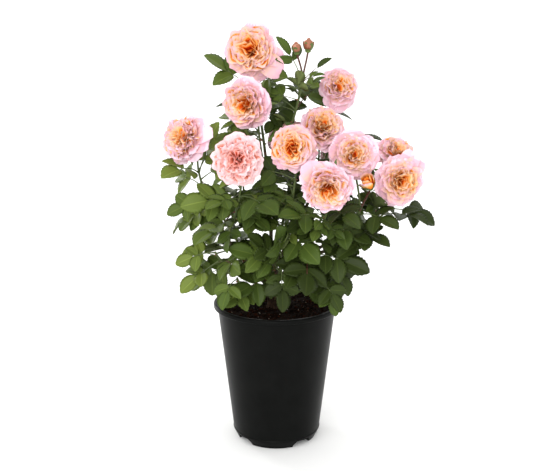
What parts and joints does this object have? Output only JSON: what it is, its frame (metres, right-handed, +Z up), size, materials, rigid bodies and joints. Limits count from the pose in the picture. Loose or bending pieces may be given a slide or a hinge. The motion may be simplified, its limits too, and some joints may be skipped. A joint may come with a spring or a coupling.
{
  "type": "potted rose bush",
  "caption": "Shrub rose in a round tapered nursery pot: a short woody main stem, green canes, leafy shoots and large double rosette blooms with a few buds.",
  "frame": {"origin": "centre of the pot's flat underside", "axes": "+Z up; most blooms face -Y, which is the picture's side; +X is to the right in the picture"},
  "size_m": [0.4426, 0.3232, 0.6872],
  "materials": {
    "pot_plastic": "moulded near-black plastic with a soft sheen",
    "compost": "dark crumbly potting compost",
    "bark": "rough grey-brown bark",
    "cane_skin": "smooth green cane skin, browner when old",
    "greenery": "leaves with a soft satin upper side, and matte petals"
  },
  "bodies": {
    "root": {"pot": "pot_plastic", "compost": "compost", "main_stem": "bark", "cane_left": "cane_skin", "cane_front_left": "cane_skin", "cane_mid_left": "cane_skin", "cane_low_left": "cane_skin", "cane_top": "cane_skin", "cane_upper_left": "cane_skin", "cane_bud_spray": "cane_skin", "cane_centre": "cane_skin", "cane_upright": "cane_skin", "cane_mid_right": "cane_skin", "cane_right": "cane_skin", "cane_front_right": "cane_skin", "cane_low_right": "cane_skin", "cane_far_right": "cane_skin", "cane_side_right": "cane_skin", "cane_back_right": "cane_skin", "cane_low_back_right": "cane_skin", "cane_back": "cane_skin", "cane_back_left": "cane_skin", "cane_low_back_left": "cane_skin", "cane_rim_left": "cane_skin", "cane_low_front": "cane_skin", "cane_rim_right": "cane_skin", "shoot_left": "greenery", "shoot_front_left": "greenery", "shoot_mid_left": "greenery", "shoot_low_left": "greenery", "shoot_top": "greenery", "shoot_upper_left": "greenery", "shoot_bud_spray": "greenery", "shoot_centre": "greenery", "shoot_upright": "greenery", "shoot_mid_right": "greenery", "shoot_right": "greenery", "shoot_front_right": "greenery", "shoot_low_right": "greenery", "shoot_far_right": "greenery", "shoot_side_right": "greenery", "shoot_back_right": "greenery", "shoot_low_back_right": "greenery", "shoot_back": "greenery", "shoot_back_left": "greenery", "shoot_low_back_left": "greenery", "shoot_rim_left": "greenery", "shoot_low_front": "greenery", "shoot_rim_right": "greenery"}
  },
  "joints": []
}
